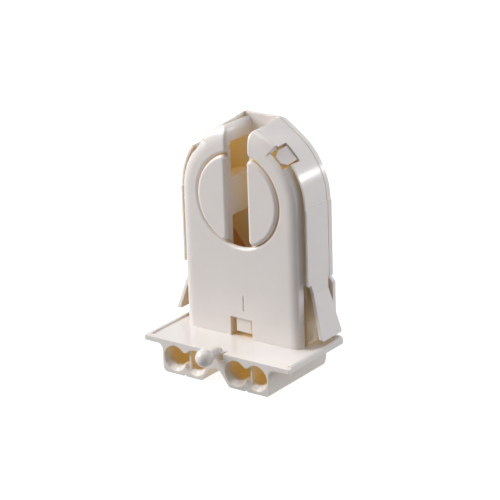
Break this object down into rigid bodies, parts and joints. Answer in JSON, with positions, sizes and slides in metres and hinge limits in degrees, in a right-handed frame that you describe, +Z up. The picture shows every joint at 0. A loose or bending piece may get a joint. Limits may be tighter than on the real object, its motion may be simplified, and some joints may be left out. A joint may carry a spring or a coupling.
{
  "type": "fluorescent tube lamp holder",
  "caption": "Arched holder for a bi-pin fluorescent tube: slotted rotor, front housing clipped to a flanged base, push-in wire entries, spring clips and a locating nib.",
  "frame": {"origin": "on the centre plane, at the front face of the raised panel, level with the top of the base flange", "axes": "+X across the holder to the right seen from the front, +Y from the front face to the back, +Z up; the lamp's axis is along Y at Z 27 mm"},
  "size_m": [0.0336, 0.0238, 0.0478],
  "materials": {
    "housing_plastic": "satin",
    "contact_bronze": "satin",
    "spring_steel": "brushed"
  },
  "bodies": {
    "holder": {"base": "housing_plastic", "front_housing": "housing_plastic", "contact_left": "contact_bronze", "contact_right": "contact_bronze", "wire_clamp_left": "spring_steel", "wire_clamp_right": "spring_steel"},
    "rotor": {"rotor": "housing_plastic"}
  },
  "joints": [
    {"name": "rotor_turn", "type": "hinge", "parent": "holder", "child": "rotor", "pos_m": [0, 0, 0.027], "axis": [0, -1, 0], "range_deg": [-90, 90]}
  ]
}
